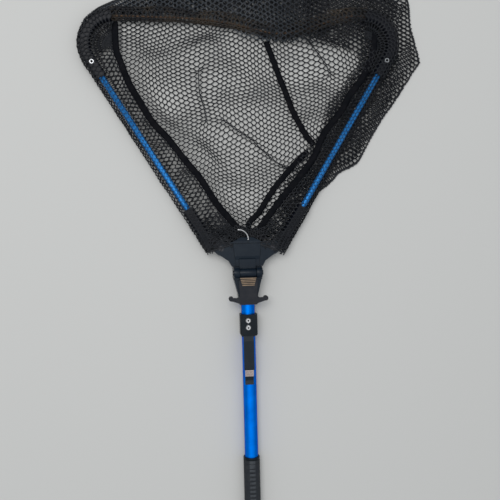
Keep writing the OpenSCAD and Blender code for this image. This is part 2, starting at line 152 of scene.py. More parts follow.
def area_light(name, spot, aim, size, power, colour):
    """A round soft lamp at a spot, aimed at a point."""
    data = bpy.data.lights.new(name, "AREA")
    data.shape = "DISK"
    data.size = size
    data.energy = power
    data.color = colour
    light = bpy.data.objects.new(name, data)
    light.location = spot
    light.rotation_euler = (Vector(aim) - Vector(spot)).to_track_quat("-Z", "Y").to_euler()
    bpy.context.scene.collection.objects.link(light)


def make_light():
    """A wide soft light overhead; the sky round it fades towards the horizon."""
    world = bpy.data.worlds.new("studio")
    world.use_nodes = True
    tree = world.node_tree
    place = tree.nodes.new("ShaderNodeTexCoord")
    split = tree.nodes.new("ShaderNodeSeparateXYZ")
    ramp = tree.nodes.new("ShaderNodeValToRGB")
    ramp.color_ramp.elements[0].color = (0.16, 0.17, 0.18, 1)
    ramp.color_ramp.elements[1].color = (0.95, 0.98, 1.0, 1)
    ramp.color_ramp.elements[1].position = 0.9
    tree.links.new(place.outputs["Generated"], split.inputs["Vector"])
    tree.links.new(split.outputs["Z"], ramp.inputs["Fac"])
    tree.links.new(ramp.outputs["Color"], tree.nodes["Background"].inputs["Color"])
    tree.nodes["Background"].inputs["Strength"].default_value = 0.80
    bpy.context.scene.world = world
    bpy.context.scene.view_settings.view_transform = "Standard"
    area_light("key", (-0.55, 0.75, 2.3), (0, 0.1, 0), 1.5, 24, (1.0, 0.99, 0.97))


def make_floor():
    """A plain pale floor, a hair below the net."""
    mesh = bpy.data.meshes.new("floor")
    corners = [(x * FLOOR_REACH, y * FLOOR_REACH, 0) for x, y in ((-1, -1), (1, -1), (1, 1), (-1, 1))]
    mesh.from_pydata(corners, [], [(0, 1, 2, 3)])
    floor = bpy.data.objects.new("floor", mesh)
    floor.location = (0, 0, -0.0002)
    bpy.context.scene.collection.objects.link(floor)
    material = bpy.data.materials.new("floor")
    material.use_nodes = True
    surface = material.node_tree.nodes["Principled BSDF"]
    surface.inputs["Base Color"].default_value = (0.59, 0.59, 0.58, 1)
    surface.inputs["Roughness"].default_value = 0.85
    mesh.materials.append(material)


make_camera()

# ---------------------------------------------------------------- numbers on arrays


def smoothstep(low, high, x):
    """0 below low, 1 above high, and a smooth rise between them."""
    t = np.clip((np.asarray(x, float) - low) / (high - low), 0, 1)
    return t * t * (3 - 2 * t)


def waves(points, scale, seed):
    """Smooth noise of about -1 to 1 over plan points, with its crests about scale apart."""
    random = np.random.RandomState(seed)
    total = np.zeros(points.shape[:-1])
    for octave in range(2):
        for _ in range(4):
            angle = random.uniform(0, 2 * math.pi)
            rate = 2 * math.pi / scale * 2 ** octave * random.uniform(0.75, 1.3)
            phase = random.uniform(0, 2 * math.pi)
            heading = np.array([math.cos(angle), math.sin(angle)])
            total += np.sin(points @ heading * rate + phase) / 2 ** octave
    return total / 4.0


def sway(points, scales, seed):
    """Smooth noise for a shift in plan: one wave length and seed for X, the next for Y."""
    return np.stack([waves(points, scales[k], seed + k) for k in (0, 1)], -1)


def rounded(outline, times):
    """A closed outline with its corners cut, more each time."""
    line = np.array(outline, float)
    for _ in range(times):
        after = np.roll(line, -1, axis=0)
        line = np.stack([0.75 * line + 0.25 * after, 0.25 * line + 0.75 * after], 1).reshape(-1, 2)
    return line


def travelled(points):
    """How far along a line each of its points is."""
    return np.concatenate([[0], np.cumsum(np.linalg.norm(np.diff(points, axis=0), axis=1))])


def headings(points):
    """The direction of a line at each of its points."""
    direction = np.gradient(points, axis=0)
    return direction / np.linalg.norm(direction, axis=1, keepdims=True)


def curve_through(points, step=0.004):
    """Evenly spaced points of a smooth curve through a few given ones."""
    p = np.array(points, float)
    padded = np.vstack([2 * p[0] - p[1], p, 2 * p[-1] - p[-2]])
    pieces = []
    for a, b, c, d in zip(padded, padded[1:], padded[2:], padded[3:]):
        t = np.linspace(0, 1, 24, endpoint=False)[:, None]
        pieces.append(0.5 * (2 * b + (c - a) * t + (2 * a - 5 * b + 4 * c - d) * t ** 2
                             + (3 * b - a - 3 * c + d) * t ** 3))
    dense = np.vstack(pieces + [p[-1:]])
    reached = travelled(dense)
    wanted = np.linspace(0, reached[-1], max(2, int(reached[-1] / step) + 1))
    return np.stack([np.interp(wanted, reached, dense[:, k]) for k in range(p.shape[1])], 1)


def distance_to(points, line, closed=False):
    """Distance of plan points from a line of straight pieces."""
    a = line if closed else line[:-1]
    b = np.roll(line, -1, axis=0) if closed else line[1:]
    best = np.full(points.shape[:-1], np.inf)
    for start, end in zip(a, b):
        d = end - start
        t = np.clip((points - start) @ d / max(d @ d, 1e-12), 0, 1)
        best = np.minimum(best, np.linalg.norm(points - start - t[..., None] * d, axis=-1))
    return best


def inside(points, outline):
    """Whether plan points are inside a closed outline."""
    x, y = points[..., 0], points[..., 1]
    result = np.zeros(points.shape[:-1], bool)
    for (ax, ay), (bx, by) in zip(outline, np.roll(outline, -1, axis=0)):
        if ay == by:
            continue
        spans = (ay > y) != (by > y)
        result ^= spans & (x < (bx - ax) * (y - ay) / (by - ay) + ax)
    return result


# ---------------------------------------------------------------- meshes


def add_mesh(name, vertices, faces, material):
    """A smooth-shaded mesh object from an array of vertices and one of quads."""
    mesh = bpy.data.meshes.new(name)
    faces = np.asarray(faces, np.int32)
    mesh.vertices.add(len(vertices))
    mesh.vertices.foreach_set("co", np.asarray(vertices, np.float32).ravel())
    mesh.loops.add(faces.size)
    mesh.loops.foreach_set("vertex_index", faces.ravel())
    mesh.polygons.add(len(faces))
    mesh.polygons.foreach_set("loop_start", np.arange(0, faces.size, faces.shape[1], dtype=np.int32))
    mesh.update(calc_edges=True)
    mesh.validate()
    mesh.shade_smooth()
    mesh.materials.append(material)
    piece = bpy.data.objects.new(name, mesh)
    bpy.context.scene.collection.objects.link(piece)
    return piece


def across(directions):
    """Unit vectors square to the directions, and level where they can be."""
    side = np.cross(directions, UP)
    length = np.linalg.norm(side, axis=-1, keepdims=True)
    steep = length < 1e-6
    side = np.where(steep, np.array([1.0, 0, 0]), side / np.where(steep, 1, length))
    return side


def sweep(points, section):
    """Vertices and quads of a closed section, an even number of plan points, carried along a line."""
    direction = headings(points)
    side = across(direction)
    top = np.cross(side, direction)
    rings = points[:, None] + section[:, :1] * side[:, None] + section[:, 1:] * top[:, None]
    n, m = rings.shape[:2]
    a = (np.arange(n - 1)[:, None] * m + np.arange(m)).ravel()
    b = (np.arange(n - 1)[:, None] * m + (np.arange(m) + 1) % m).ravel()
    quads = np.stack([a, b, b + m, a + m], 1)
    ends = []
    for first in (0, (n - 1) * m):
        for k in range(m // 2 - 1):
            ring = [first + k, first + k + 1, first + m - 2 - k, first + m - 1 - k]
            ends.append(ring if first else ring[::-1])
    return rings.reshape(-1, 3), np.vstack([quads, np.array(ends)])


def circle_section(radius, sides):
    """A round section for sweep."""
    angle = np.arange(sides) * 2 * math.pi / sides
    return radius * np.stack([np.cos(angle), np.sin(angle)], 1)


# ---------------------------------------------------------------- netting

# The mesh's holes stand in columns: their pitch along a column, and from column to column
CELL_UP = 0.0070
CELL_ACROSS = 0.0067
# Where four threads meet they run side by side for this far
BAR = 0.0030
THREAD_R = 0.00105
THREAD_SIDES = 4
SHORTEST_THREAD = 0.0004


def net_threads(u0, u1, v0, v1):
    """Both ends of every thread of a knotless net over a rectangle of cloth."""
    columns = int(round((u1 - u0) / CELL_ACROSS))
    rows = int((v1 - v0) / CELL_UP) + 1
    j, i = np.meshgrid(np.arange(columns), np.arange(rows), indexing="ij")
    knot = np.stack([u0 + j * CELL_ACROSS, v0 + (i + 0.5 * (j % 2)) * CELL_UP], -1).reshape(-1, 2)
    half = np.array([BAR / 2, 0])
    step = np.array([CELL_ACROSS, CELL_UP / 2])
    starts = np.concatenate([knot - half, knot + half, knot + half])
    ends = np.concatenate([knot + half, knot + step - half, knot + step * [1, -1] - half])
    return starts, ends


def clip(threads, keep):
    """The threads inside the region where keep(points) is true, cut where they cross its edge."""
    starts, ends = threads
    a, b = keep(starts), keep(ends)
    whole, cut = a & b, a ^ b
    near = np.where(a[cut][:, None], starts[cut], ends[cut])
    far = np.where(a[cut][:, None], ends[cut], starts[cut])
    low, high = np.zeros(len(near)), np.ones(len(near))
    for _ in range(7):
        t = (low + high) / 2
        good = keep(near + (far - near) * t[:, None])
        low, high = np.where(good, t, low), np.where(good, high, t)
    stop = near + (far - near) * low[:, None]
    return np.vstack([starts[whole], near]), np.vstack([ends[whole], stop])


def net_piece(name, threads, place, material, thinness=None):
    """Every thread as a thin tube, thicker at its ends, where real threads are plaited together.

    thinness, where given, says how thick the threads are at their middles (1 is unstretched)."""
    starts, ends = threads
    centre = np.stack([place(starts + (ends - starts) * f) for f in (0, 0.5, 1)], 1)
    direction = centre[:, 2] - centre[:, 0]
    length = np.linalg.norm(direction, axis=1, keepdims=True)
    fine = length[:, 0] > SHORTEST_THREAD
    share = np.ones(len(starts)) if thinness is None else thinness((starts + ends) / 2)
    share = share[fine]
    centre, direction = centre[fine], direction[fine] / length[fine]
    side = across(direction)
    top = np.cross(side, direction)
    # each tube runs a little past its knot, so that tubes close on each other
    overrun = direction * THREAD_R * 0.5
    centre[:, 0] -= overrun
    centre[:, 2] += overrun
    corner = np.arange(THREAD_SIDES)
    angle = (corner + 0.5) * 2 * math.pi / THREAD_SIDES
    thick = THREAD_R * np.array([1.15, 0.88, 1.15])
    ring = (np.cos(angle)[:, None] * side[:, None, None, :]
            + np.sin(angle)[:, None] * top[:, None, None, :])
    vertices = centre[:, :, None, :] + (share[:, None] * thick)[:, :, None, None] * ring
    base = np.arange(len(vertices))[:, None] * 3 * THREAD_SIDES
    ring_start = base[..., None] + np.arange(2)[:, None] * THREAD_SIDES
    a, b = ring_start + corner, ring_start + (corner + 1) % THREAD_SIDES
    walls = np.stack([a, b, b + THREAD_SIDES, a + THREAD_SIDES], -1).reshape(-1, 4)
    first, last = base + corner[::-1], base + 2 * THREAD_SIDES + corner
    return add_mesh(name, vertices.reshape(-1, 3), np.vstack([walls, first, last]), material)


# ---------------------------------------------------------------- materials


class Look:
    """A material, and short ways to add nodes to it."""

    def __init__(self, name, colour, roughness, metallic=0.0):
        self.material = bpy.data.materials.new(name)
        self.material.use_nodes = True
        self.tree = self.material.node_tree
        self.surface = self.tree.nodes["Principled BSDF"]
        self.surface.inputs["Base Color"].default_value = (*colour, 1)
        self.surface.inputs["Roughness"].default_value = roughness
        self.surface.inputs["Metallic"].default_value = metallic
        self.colour = colour
        self.place = self.tree.nodes.new("ShaderNodeTexCoord").outputs["Object"]

    def add(self, kind, **values):
        """A new node with some of its own settings."""
        made = self.tree.nodes.new(kind)
        for key, value in values.items():
            setattr(made, key, value)
        return made

    def link(self, source, target):
        """Joins two sockets, and returns the look so that calls can be chained."""
        self.tree.links.new(source, target)
        return self

    def noise(self, scale, detail, stretch=(1, 1, 1)):
        """Noise on the surface's own place in metres: 1000 is about a millimetre a grain."""
        mapping = self.add("ShaderNodeMapping")
        mapping.inputs["Scale"].default_value = stretch
        self.link(self.place, mapping.inputs["Vector"])
        made = self.add("ShaderNodeTexNoise")
        made.inputs["Scale"].default_value = scale
        made.inputs["Detail"].default_value = detail
        self.link(mapping.outputs["Vector"], made.inputs["Vector"])
        return made.outputs["Fac"]

    def spread(self, value, low, high, start=0.3, stop=0.7):
        """Maps a value from start and stop to low and high, and no further."""
        made = self.add("ShaderNodeMapRange")
        for key, number in zip(("From Min", "From Max", "To Min", "To Max"),
                               (start, stop, low, high)):
            made.inputs[key].default_value = number
        self.link(value, made.inputs["Value"])
        return made.outputs["Result"]

    def tint(self, value, other, start, stop):
        """Mixes the base colour towards another by a value."""
        ramp = self.add("ShaderNodeValToRGB")
        ramp.color_ramp.elements[0].position = start
        ramp.color_ramp.elements[1].position = stop
        ramp.color_ramp.elements[0].color = (*self.colour, 1)
        ramp.color_ramp.elements[1].color = (*other, 1)
        self.link(value, ramp.inputs["Fac"])
        self.link(ramp.outputs["Color"], self.surface.inputs["Base Color"])
        return self

    def along(self, axis):
        """One coordinate of the surface's own place."""
        split = self.add("ShaderNodeSeparateXYZ")
        self.link(self.place, split.inputs["Vector"])
        return split.outputs[axis]

    def towards(self, share, colour):
        """Mixes what already feeds the base colour towards another colour by a share."""
        plain = self.surface.inputs["Base Color"].links[0].from_socket
        mix = self.add("ShaderNodeMix", data_type="RGBA")
        self.link(share, mix.inputs["Factor"]).link(plain, mix.inputs[6])
        mix.inputs[7].default_value = (*colour, 1)
        return self.link(mix.outputs[2], self.surface.inputs["Base Color"])

    def paint_top_highlight(self, node, depth, colour):
        """Paints a pale highlight on the top of a node in patches, down to a depth below its highest point."""
        top = box(node)[1][2]
        raised = self.spread(self.along("Z"), 0, 1, top - depth, top - depth + HIGHLIGHT_FADE)
        share = self.add("ShaderNodeMath", operation="MULTIPLY")
        self.link(raised, share.inputs[0])
        self.link(self.spread(self.noise(160, 4), 0.55, 1.0), share.inputs[1])
        return self.towards(share.outputs["Value"], colour)

    def rough(self, value, low, high):
        """Roughness between two limits, by a value."""
        return self.link(self.spread(value, low, high), self.surface.inputs["Roughness"])

    def gloss(self, level):
        self.surface.inputs["Specular IOR Level"].default_value = level

    def bump(self, value, depth, strength):
        """Relief of a depth in metres, on top of any relief already there."""
        made = self.add("ShaderNodeBump")
        made.inputs["Distance"].default_value = depth
        made.inputs["Strength"].default_value = strength
        self.link(value, made.inputs["Height"])
        before = self.surface.inputs["Normal"].links
        if before:
            self.link(before[0].from_socket, made.inputs["Normal"])
        return self.link(made.outputs["Normal"], self.surface.inputs["Normal"])


PLASTIC_GRAIN = 1500
# How deep the painted highlights on the tops of the thumb's and the grip's ribs reach, and how they fade
THUMB_HIGHLIGHT_DEPTH = 0.0009
GRIP_HIGHLIGHT_DEPTH = 0.0011
HIGHLIGHT_FADE = 0.0005
# The radii of the painted shade in the rivets' bores, and its soft edge
COLLAR_BORE_R = 0.0015
ELBOW_BORE_R = 0.0022
BORE_EDGE = 0.0001
# Along X, where the painted highlight of the upper netting's paler threads begins to fade and where its piece ends
FADE_START = 0.045
BAND_END = 0.115


def anodised(name, colour, darker, metallic):
    """Anodised tube: a satin metal with fine draw lines and faint handling marks."""
    look = Look(name, colour, 0.36, metallic)
    look.tint(look.noise(60, 4), darker, 0.4, 0.75)
    look.rough(look.noise(900, 3, (1, 0.05, 1)), 0.32, 0.46)
    look.bump(look.noise(2400, 2, (1, 0.03, 1)), 0.00004, 0.5)
    look.gloss(0.3)
    look.surface.inputs["Specular Tint"].default_value = (*(0.35 * c for c in darker), 1)
    return look.material


def moulded(name, colour, other, roughness, gloss):
    """Moulded nylon with spark-eroded grain and faint scuffs."""
    look = Look(name, colour, 0.5)
    look.tint(look.noise(90, 5), other, 0.45, 0.8)
    look.rough(look.noise(220, 4), *roughness)
    look.bump(look.noise(PLASTIC_GRAIN, 2), 0.00012, 0.6)
    look.bump(look.noise(260, 3), 0.00012, 0.35)
    look.gloss(gloss)
    return look.material


def rubber(name, colour, other, rib_highlight):
    """Grip rubber, with a painted highlight along the tops of its ribs."""
    look = Look(name, colour, 0.7)
    look.tint(look.noise(140, 5), other, 0.4, 0.8)
    look.rough(look.noise(300, 4), 0.6, 0.82)
    look.bump(look.noise(2200, 3), 0.00015, 0.7)
    look.gloss(0.25)
    look.paint_top_highlight("grip", GRIP_HIGHLIGHT_DEPTH, rib_highlight)
    return look.material


def bare_metal(name, colour, other, roughness):
    """Bare metal with faint stains and fine scratches, as a look to build on."""
    look = Look(name, colour, 0.25, 1.0)
    look.tint(look.noise(400, 4), other, 0.4, 0.7)
    look.rough(look.noise(500, 4), *roughness)
    look.bump(look.noise(1800, 3), 0.00003, 0.6)
    return look


def metal(name, colour, other, roughness):
    return bare_metal(name, colour, other, roughness).material


def thread_look(name, colour, other, right=None):
    """Plaited nylon thread, tinted in patches towards a second colour, dust on most threads and a painted bronze
    glint on the top hem's; towards +X it may fade into another colour, as the upper netting's painted highlight
    fades out.
    """
    look = Look(name, colour, 0.6)
    look.tint(look.noise(25, 4), other, 0.4, 0.7)
    look.rough(look.noise(60, 3), 0.5, 0.72)
    look.bump(look.noise(2600, 2), 0.0002, 0.7)
    look.gloss(0.3)
    # the fade along X takes the painted highlight away towards +X
    if right:
        look.towards(look.spread(look.along("X"), 0, 1, FADE_START, BAND_END), right)
    return look.material


def tape_look(name, colour, other):
    """Woven polyester tape: crossed ribs about a millimetre apart."""
    look = Look(name, colour, 0.7)
    look.tint(look.noise(120, 4), other, 0.4, 0.75)
    for turn in (math.radians(45), math.radians(-45)):
        wave = look.add("ShaderNodeTexWave")
        wave.inputs["Scale"].default_value = 320
        wave.inputs["Distortion"].default_value = 0.6
        mapping = look.add("ShaderNodeMapping")
        mapping.inputs["Rotation"].default_value = (0, 0, turn)
        look.link(look.place, mapping.inputs["Vector"])
        look.link(mapping.outputs["Vector"], wave.inputs["Vector"])
        look.bump(wave.outputs["Fac"], 0.00015, 0.5)
    look.rough(look.noise(200, 3), 0.6, 0.8)
    look.gloss(0.06)
    return look.material


def ribbed_latch(name, colour, other, rib_highlight):
    """The latch's moulded plastic, with a painted tan highlight on its raised thumb ribs."""
    look = Look(name, colour, 0.45)
    look.tint(look.noise(90, 5), other, 0.45, 0.8)
    look.rough(look.noise(220, 4), 0.36, 0.50)
    look.bump(look.noise(PLASTIC_GRAIN, 2), 0.00012, 0.6)
    look.gloss(0.25)
    look.paint_top_highlight("latch_slider", THUMB_HIGHLIGHT_DEPTH, rib_highlight)
    return look.material


def hollow_rivet(name, colour, bore_shade):
    """A bright tubular rivet, with shade painted dark inside its bore."""
    look = bare_metal(name, colour, tuple(0.8 * c for c in colour), (0.24, 0.40))
    for spot, radius in rivet_bores():
        away = look.add("ShaderNodeVectorMath", operation="DISTANCE")
        flat = look.add("ShaderNodeVectorMath", operation="MULTIPLY")
        flat.inputs[1].default_value = (1, 1, 0)
        look.link(look.place, flat.inputs[0]).link(flat.outputs["Vector"], away.inputs[0])
        away.inputs[1].default_value = (spot[0], spot[1], 0)
        within = look.spread(away.outputs["Value"], 1, 0, radius - BORE_EDGE, radius + BORE_EDGE)
        look.towards(within, bore_shade)
    return look.material


def rivet_bores():
    """The bores of the collar's and the elbows' rivets, where shade is painted, as (place, radius) pairs."""
    low, high = box("collar_rivets")
    centre, radius = (low + high) / 2, (high[0] - low[0]) / 2
    pitch = (high[1] - low[1]) / 2 - radius
    collar = [(centre + [0, shift, 0], COLLAR_BORE_R) for shift in (-pitch, pitch)]
    return collar + [(middle("elbow_rivet_" + side), ELBOW_BORE_R) for side in ("left", "right")]


BLUE = anodised("blue_aluminium", (0.000, 0.23, 1.0), (0.000, 0.17, 0.80), 0.95)
ARM_BLUE = anodised("arm_tube_blue", (0.028, 0.185, 0.50), (0.020, 0.135, 0.38), 0.45)
ALUMINIUM = anodised("plain_aluminium", (0.62, 0.63, 0.65), (0.52, 0.53, 0.55), 1.0)
HUB = moulded("hub_plastic", (0.004, 0.010, 0.019), (0.008, 0.015, 0.024), (0.30, 0.44), 0.20)
# the latch's last colour is the painted tan highlight on its thumb ribs
LATCH = ribbed_latch("latch_plastic", (0.008, 0.010, 0.016), (0.018, 0.019, 0.024),
                     (0.34, 0.24, 0.155))
ARM = moulded("arm_plastic", (0.003, 0.004, 0.008), (0.007, 0.009, 0.014), (0.32, 0.46), 0.16)
COLLAR = moulded("collar_plastic", (0.002, 0.006, 0.010), (0.007, 0.010, 0.015), (0.34, 0.46), 0.20)
CLIP = moulded("clip_plastic", (0.004, 0.010, 0.016), (0.010, 0.015, 0.021), (0.36, 0.50), 0.25)
# the grip's last colour is the painted highlight on its ribs' tops
GRIP = rubber("grip_rubber", (0.018, 0.021, 0.027), (0.026, 0.031, 0.034), (0.062, 0.070, 0.080))
STEEL = metal("steel", (0.56, 0.56, 0.57), (0.40, 0.40, 0.41), (0.16, 0.32))
BLACK_STEEL = metal("blackened_steel", (0.035, 0.037, 0.042), (0.06, 0.06, 0.065), (0.34, 0.48))
# the last colour of each rivet look is painted shade in the bore
RIVET = hollow_rivet("rivet_steel", (0.72, 0.72, 0.73), (0.01, 0.01, 0.01))
ELBOW_RIVET = hollow_rivet("elbow_rivet_steel", (0.38, 0.39, 0.41), (0.01, 0.01, 0.01))
CLIP_TIP = metal("clip_metal", (0.62, 0.52, 0.49), (0.36, 0.29, 0.28), (0.30, 0.45))
NET = thread_look("netting", (0.010, 0.012, 0.016), (0.020, 0.021, 0.025))
# A lit copy of the netting: its paler threads are a painted highlight, fading towards +X to a colour close to the
# plain netting's
NET_PAINTED_LIT = thread_look("netting_painted_lit", (0.034, 0.041, 0.051), (0.066, 0.072, 0.082),
                        (0.014, 0.016, 0.020))
# The top hem's threads, patched with a painted bronze glint of warm sunlight
NET_PAINTED_GLINT = thread_look("netting_painted_glint", (0.014, 0.014, 0.016), (0.050, 0.038, 0.027))
CORD = thread_look("cord", (0.20, 0.125, 0.080), (0.085, 0.055, 0.040))
TAPE = tape_look("binding_tape", (0.0030, 0.0036, 0.0055), (0.007, 0.007, 0.009))
NYLON = moulded("nylon", (0.62, 0.62, 0.57), (0.54, 0.54, 0.50), (0.38, 0.55), 0.30)

# Each material slot's look
NODE_LOOKS = {
    "blue_aluminium": BLUE, "plain_aluminium": ALUMINIUM, "hub_plastic": HUB,
    "latch_plastic": LATCH, "arm_plastic": ARM, "collar_plastic": COLLAR, "clip_plastic": CLIP,
    "grip_rubber": GRIP, "steel": STEEL, "rivet_steel": RIVET, "clip_metal": CLIP_TIP,
    "netting": NET, "binding_tape": TAPE, "nylon": NYLON,
}
# Nodes whose own look differs from their slot's: darkened pins, duller tubes and rivets
OWN_LOOKS = {"arm_pins": BLACK_STEEL, "hinge_pin": BLACK_STEEL,
             "arm_tube_left": ARM_BLUE, "arm_tube_right": ARM_BLUE,
             "elbow_rivet_left": ELBOW_RIVET, "elbow_rivet_right": ELBOW_RIVET}
# The radius that rounds the edges of each kind of moulding
EDGE_RADII = {"hub_plastic": 0.0014, "latch_plastic": 0.0008, "arm_plastic": 0.0007,
              "collar_plastic": 0.0006, "clip_plastic": 0.0004, "clip_metal": 0.0003}


def dress_cad_nodes():
    """Gives every CAD node its material, and the moulded ones their small edge radii."""
    for part in frame["record"]["subparts"]:
        node, slot = NODES[part["node"]], part["material_slot"]
        node.data.materials.clear()
        node.data.materials.append(OWN_LOOKS.get(part["node"], NODE_LOOKS[slot]))
        weld = node.modifiers.new("weld", "WELD")
        weld.merge_threshold = 0.00001
        if slot in EDGE_RADII:
            bevel = node.modifiers.new("edges", "BEVEL")
            bevel.width = EDGE_RADII[slot]
            bevel.segments = 3
            bevel.limit_method = "ANGLE"
            bevel.angle_limit = math.radians(35)
            bevel.harden_normals = True


# ---------------------------------------------------------------- the net

# The collapsed bag's outline, clockwise from beside the hub's left wing
OUTLINE = [(-0.058, 0.058), (-0.101, 0.100), (-0.174, 0.211), (-0.226, 0.296), (-0.260, 0.385),
           (-0.255, 0.405), (-0.240, 0.421), (-0.213, 0.436), (-0.160, 0.455), (-0.090, 0.470),
           (0.000, 0.478), (0.090, 0.478), (0.180, 0.470), (0.236, 0.462), (0.252, 0.448),
           (0.262, 0.440), (0.272, 0.452), (0.282, 0.443), (0.284, 0.401), (0.298, 0.350),
           (0.301, 0.341), (0.295, 0.334), (0.281, 0.314), (0.252, 0.270), (0.235, 0.249),
           (0.214, 0.215), (0.197, 0.184), (0.186, 0.170), (0.160, 0.161), (0.144, 0.142),
           (0.120, 0.126), (0.104, 0.102), (0.086, 0.070), (0.060, 0.052)]
BAG = rounded(OUTLINE, 1)
BAG_MIDDLE = BAG.mean(0)

# How far inside an arm's line its sleeve is sewn: (distance along the arm, inset)
SLEEVE_INSET = {
    -1: [(-0.010, 0.053), (0.036, 0.049), (0.111, 0.045), (0.149, 0.040), (0.193, 0.036),
         (0.229, 0.029), (0.301, 0.031), (0.335, 0.038), (0.380, 0.041), (0.460, 0.040)],
    1: [(-0.010, 0.044), (0.036, 0.041), (0.078, 0.036), (0.119, 0.029), (0.158, 0.025),
        (0.202, 0.027), (0.279, 0.023), (0.316, 0.020), (0.357, 0.024), (0.400, 0.032),
        (0.460, 0.036)],
}
# How far the sleeve stands outside its arm's line
SLEEVE_OUT = 0.0125
# The sleeve's lower end slopes: (inset from the arm's line, distance along the arm)
SLEEVE_START = {-1: [(-SLEEVE_OUT, 0.007), (0.033, -0.005)],
                1: [(-SLEEVE_OUT, 0.002), (0.029, -0.006)]}
SLEEVE_COLUMNS = 22
SLEEVE_END_R = 0.0013
# How unevenly the sleeves' and the gathers' rows lie along the arm
SLEEVE_SHAKE = 0.0022
GATHER_SHAKE = 0.0030
# Half of the gap between the sleeve's two layers where they lie flat, and their height there
SHEET_HALF = 0.0011
SHEET_AT_TUBE = -0.0073
# Over the tube, the arm's mouldings and the hub's wing: how far above the arm's line the net lies
OVER_TUBE = TUBE_R + 0.0007
OVER_MOULDING = 0.0083
OVER_HUB = 0.0124
# The threads over the tube's top lose this share of their thickness, over this distance
STRETCH = 0.74
STRETCH_REACH = 0.009
# The net stays this far from the middle of an elbow's rivet
RIVET_CLEARANCE = 0.0052


def inset(side, s):
    """How far inside its arm's line a sleeve is sewn at distances s along the arm."""
    given = np.array(SLEEVE_INSET[side])
    s = np.asarray(s, float)
    return sum(np.interp(s + shift, given[:, 0], given[:, 1]) for shift in (-0.02, 0, 0.02)) / 3


def inner_edge(side, start, stop):
    """The sewn edge of one arm's sleeve, as plan points."""
    s = np.arange(start, stop, 0.006)
    return ARMS[side].place(s, inset(side, s), np.zeros(len(s)))[:, :2]


def over_mouldings(arm, s):
    """1 where the arm is a moulding, 0 along its bare tube."""
    return np.maximum(1 - smoothstep(arm.tube_start - 0.001, arm.tube_start + 0.005, s),
                      smoothstep(arm.tube_end - 0.005, arm.tube_end + 0.001, s))


def sleeve_heights(arm, s, inner):
    """Heights of the sleeve's two layers, which close round the tube, moulding or hub wing."""
    moulding = over_mouldings(arm, s)
    # half the width of the net's flat top, and how far in its slope comes down on the sheet
    top_half = 0.003 + 0.0060 * moulding
    reach_in = 0.0125 + (0.0100 + 0.010 * (1 - smoothstep(0, 0.03, s))) * moulding
    # the gathered netting stands over the hub's wing before it drops to the sheet
    near_hub = 1 - smoothstep(0.008, 0.022, s)
    flat_in, reach_in = top_half + 0.021 * near_hub, reach_in + 0.018 * near_hub
    down_in = np.clip((inner - flat_in) / (reach_in - flat_in), 0, 1)
    down_out = np.clip((-inner - top_half) / (SLEEVE_OUT - top_half), 0, 1)
    round_out = np.sqrt(1 - down_out ** 2)
    profile = np.where(inner > 0, 1 - down_in * (1 - 0.15 * np.sin(math.pi * down_in)), round_out)
    over_hub = (1 - smoothstep(0.010, 0.026, s)) * (1 - smoothstep(0.026, 0.040, inner))
    over = OVER_TUBE + (OVER_MOULDING - OVER_TUBE) * moulding
    over = over + (OVER_HUB - OVER_MOULDING) * over_hub
    sheet = SHEET_AT_TUBE + 0.0035 * smoothstep(0.009, 0.024, np.abs(inner)) * (inner > 0)
    sheet = sheet * np.where(inner < 0, 1 - moulding * 0.8, 1)
    upper = sheet + SHEET_HALF + profile * (over - sheet - SHEET_HALF)
    lower = sheet - SHEET_HALF - profile * moulding * (OVER_MOULDING + sheet - SHEET_HALF)
    return lower, upper


def sleeve_place(side, columns, shake, seed):
    """Where a loop of netting round one arm puts each of its points."""
    arm = ARMS[side]
    wide = columns * CELL_ACROSS
    (outer_in, outer_s), (inner_in, inner_s) = SLEEVE_START[side]

    def place(p):
        s = p[:, 1] + shake * waves(p, 0.06, seed) * smoothstep(0, 0.015, p[:, 1])
        turn = (p[:, 0] / wide + 0.012 * waves(p, 0.07, seed + 1)) % 1.0
        share = np.where(turn < 0.5, turn * 2, 2 - turn * 2)
        eased = share - 0.10 * np.sin(2 * math.pi * share)
        width = inset(side, s)
        inner = width - eased * (width + SLEEVE_OUT + 0.0006 * waves(p, 0.03, seed + 2))
        slope = outer_s + (inner - outer_in) / (inner_in - outer_in) * (inner_s - outer_s)
        s = s + slope * (1 - smoothstep(0, 0.07, s))
        lower, upper = sleeve_heights(arm, s, inner)
        fold = np.clip(np.sin(math.pi * eased) * 4, 0, 1)
        centre = (lower + upper) / 2
        height = centre + np.where(turn < 0.5, 1, -1) * (upper - lower) / 2 * fold
        height += 0.0005 * waves(p, 0.03, seed + 3) * (np.abs(inner) > 0.014)
        return arm.place(s, inner, height)

    return place


def stretched_over_tube(side, place):
    """How much thinner the net's threads are pulled where they cross the tube's top."""
    arm = ARMS[side]

    def thinness(p):
        spot = place(p)
        away = spot[:, :2] - arm.foot
        inner = away @ arm.inward
        bare = 1 - over_mouldings(arm, away @ arm.along)
        return 1 - STRETCH * bare * np.exp(-(inner / STRETCH_REACH) ** 2) * (spot[:, 2] > arm.z)

    return thinness


def clear_of_rivet(side, place):
    """Leaves the netting out where the elbow's rivet comes through it."""
    rivet = middle("elbow_rivet_" + ARMS[side].name)

    def keep(p):
        spot = place(p)
        away = np.linalg.norm(spot[:, :2] - rivet[:2], axis=1)
        return (away > RIVET_CLEARANCE) | (spot[:, 2] < rivet[2])

    return keep


